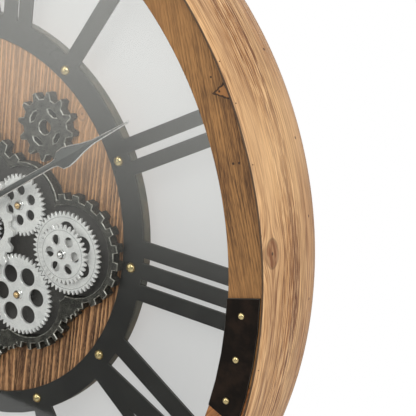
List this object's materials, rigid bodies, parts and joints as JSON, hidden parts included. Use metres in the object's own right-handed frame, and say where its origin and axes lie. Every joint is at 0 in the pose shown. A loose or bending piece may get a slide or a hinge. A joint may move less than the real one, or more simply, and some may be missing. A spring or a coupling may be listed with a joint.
{
  "type": "gear_wall_clock",
  "caption": "Round wall clock with a deep wooden drum, steel Roman numeral dial, strapped front ring and an open train of turning gears",
  "frame": {"origin": "middle of the hanger plate's rear face, where the clock touches the wall; the wall is the plane y = 0 and the clock's axis is at z = -0.268", "axes": "front of the clock towards -Y, right-hand side of the dial towards +X, twelve o'clock towards +Z"},
  "size_m": [0.61, 0.089, 0.61],
  "materials": {
    "hoop_wood": "satin varnished light pine with brown grain",
    "face_wood": "brushed and stained pine",
    "disc_wood": "scorched pine with strong vertical grain",
    "black_steel": "satin black paint, lightly worn",
    "cast_iron": "dark cast metal with worn bright edges",
    "silver": "bright satin",
    "brass": "satin",
    "steel": "turned",
    "hand_grey": "satin grey",
    "glass": "clear polished",
    "black_plastic": "matte moulded",
    "battery_sleeve": "printed sleeve left plain"
  },
  "bodies": {
    "case": {"rim_hoop": "hoop_wood", "face_segment_1": "face_wood", "face_segment_2": "face_wood", "face_segment_3": "face_wood", "face_segment_4": "face_wood", "face_segment_5": "face_wood", "face_segment_6": "face_wood", "strap_1": "black_steel", "strap_2": "black_steel", "strap_3": "black_steel", "strap_4": "black_steel", "strap_5": "black_steel", "strap_6": "black_steel", "glass_pane": "glass", "dial_plate": "black_steel", "rear_ring": "face_wood", "centre_disc": "disc_wood", "gear_bezel": "cast_iron", "gear_base_plate": "black_steel", "sprocket_right": "cast_iron", "sprocket_left": "cast_iron", "upper_post": "steel", "right_post": "steel", "lower_right_post": "steel", "lower_left_post": "steel", "upper_cap": "brass", "right_cap": "steel", "lower_right_cap": "brass", "lower_left_cap": "brass", "centre_sleeve": "steel", "movement_bush": "brass", "bush_nut": "brass", "movement_case": "black_plastic", "movement_battery": "battery_sleeve", "motor_case": "black_plastic", "motor_battery_upper": "battery_sleeve", "motor_battery_lower": "battery_sleeve", "hanger_plate": "steel"},
    "centre": {"centre_gear": "silver", "centre_wheel": "silver"},
    "upper": {"upper_wheel": "silver", "upper_pinion": "silver"},
    "right": {"right_wheel": "silver", "right_front_wheel": "silver"},
    "lower_right": {"lower_right_wheel": "silver"},
    "bottom": {"bottom_wheel": "silver", "motor_shaft": "steel", "motor_shaft_cap": "brass"},
    "lower_left": {"lower_left_wheel": "silver"},
    "minute": {"minute_hand": "hand_grey", "minute_shaft": "steel", "hand_nut": "brass"},
    "hour": {"hour_hand": "hand_grey", "hour_tube": "brass"},
    "knob": {"set_knob": "black_plastic"},
    "door": {"battery_door": "black_plastic"},
    "switch": {"power_switch": "black_plastic"}
  },
  "joints": [
    {"name": "centre_spin", "type": "hinge", "parent": "case", "child": "centre", "pos_m": [0, -0.0416, -0.268], "axis": [0, 1, 0], "continuous": true},
    {"name": "upper_spin", "type": "hinge", "parent": "case", "child": "upper", "pos_m": [0.05516, -0.0386, -0.24243], "axis": [0, 1, 0], "continuous": true},
    {"name": "right_spin", "type": "hinge", "parent": "case", "child": "right", "pos_m": [0.1034, -0.0386, -0.268], "axis": [0, 1, 0], "continuous": true},
    {"name": "lower_right_spin", "type": "hinge", "parent": "case", "child": "lower_right", "pos_m": [0.06102, -0.0386, -0.3138], "axis": [0, 1, 0], "continuous": true},
    {"name": "bottom_spin", "type": "hinge", "parent": "case", "child": "bottom", "pos_m": [0.00643, -0.0386, -0.34403], "axis": [0, 1, 0], "continuous": true},
    {"name": "lower_left_spin", "type": "hinge", "parent": "case", "child": "lower_left", "pos_m": [-0.05246, -0.0386, -0.3234], "axis": [0, 1, 0], "continuous": true},
    {"name": "minute_spin", "type": "hinge", "parent": "case", "child": "minute", "pos_m": [0, -0.0564, -0.268], "axis": [0, 1, 0], "continuous": true},
    {"name": "hour_spin", "type": "hinge", "parent": "case", "child": "hour", "pos_m": [0, -0.053, -0.268], "axis": [0, 1, 0], "continuous": true},
    {"name": "set_knob_spin", "type": "hinge", "parent": "case", "child": "knob", "pos_m": [0, -0.0019, -0.25568], "axis": [0, 1, 0], "continuous": true},
    {"name": "battery_door_slide", "type": "slide", "parent": "case", "child": "door", "axis": [0, 0, -1], "range_m": [0, 0.022]},
    {"name": "power_switch_slide", "type": "slide", "parent": "case", "child": "switch", "axis": [0, 0, 1], "range_m": [0, 0.003]}
  ],
  "couplings": [
    {"joint": "upper_spin", "follows": "centre_spin", "ratio": -1.5833},
    {"joint": "right_spin", "follows": "centre_spin", "ratio": 1.1875},
    {"joint": "lower_right_spin", "follows": "centre_spin", "ratio": -1.1875},
    {"joint": "bottom_spin", "follows": "centre_spin", "ratio": 1.1875},
    {"joint": "lower_left_spin", "follows": "centre_spin", "ratio": -1.1875},
    {"joint": "hour_spin", "follows": "minute_spin", "ratio": 0.083333},
    {"joint": "set_knob_spin", "follows": "minute_spin", "ratio": -0.33333}
  ]
}
